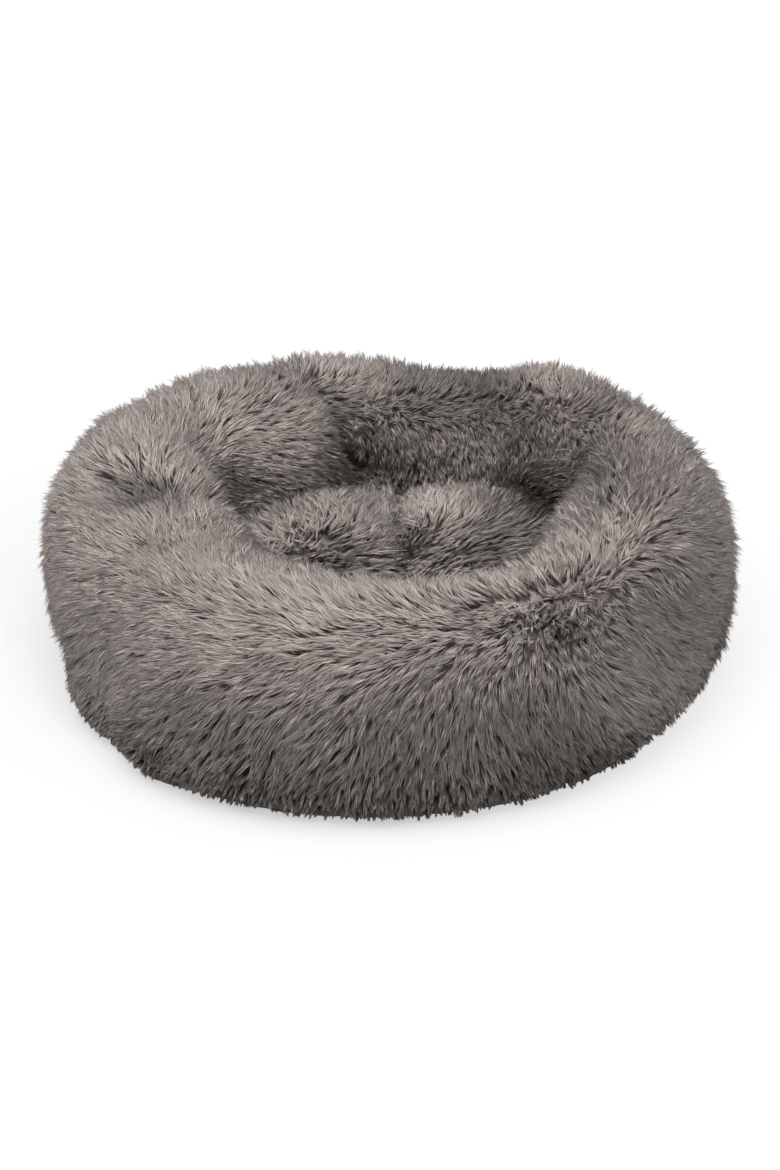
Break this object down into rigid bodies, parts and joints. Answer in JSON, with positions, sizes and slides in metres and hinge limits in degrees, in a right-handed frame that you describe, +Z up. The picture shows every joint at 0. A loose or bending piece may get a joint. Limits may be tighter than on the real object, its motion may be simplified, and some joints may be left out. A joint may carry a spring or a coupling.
{
  "type": "round pet bed",
  "caption": "Round fluffy donut pet bed: a stuffed faux-fur rim round a creased stuffed seat, on a fabric base closed by a zip.",
  "frame": {"origin": "middle of the bed's outline, on the plane that its base lies on", "axes": "+Z up, -Y towards the front of the pictured view, +X to its right"},
  "size_m": [0.6078, 0.598, 0.2031],
  "materials": {
    "fur": "matte",
    "filling": "matte",
    "base_fabric": "matte",
    "tape": "matte",
    "zip_coil": "satin",
    "zip_metal": "satin"
  },
  "bodies": {
    "bed": {"base_binding": "tape", "base_panel_front": "base_fabric", "base_panel_rear": "base_fabric", "bolster_pillow_back": "filling", "bolster_pillow_back_left": "filling", "bolster_pillow_front": "filling", "bolster_pillow_left": "filling", "bolster_pillow_right": "filling", "fur_panel_back": "fur", "fur_panel_back_left": "fur", "fur_panel_front": "fur", "fur_panel_left": "fur", "fur_panel_right": "fur", "seat_fur_panel": "fur", "seat_pillow_left": "filling", "seat_pillow_right": "filling", "zip_bottom_stop": "zip_metal", "zip_tape_front": "tape", "zip_tape_rear": "tape", "zip_teeth_front": "zip_coil", "zip_teeth_rear": "zip_coil", "zip_top_stop_front": "zip_metal", "zip_top_stop_rear": "zip_metal"},
    "slider": {"zip_slider": "zip_metal"},
    "pull_tab": {"zip_pull_tab": "zip_metal"}
  },
  "joints": [
    {"name": "zip_travel", "type": "slide", "parent": "bed", "child": "slider", "axis": [1, 0, 0], "range_m": [0, 0.246]},
    {"name": "pull_tab_swing", "type": "hinge", "parent": "slider", "child": "pull_tab", "pos_m": [-0.123, 0.00412, 0.00225], "axis": [0, 1, 0], "range_deg": [0, 170]}
  ]
}
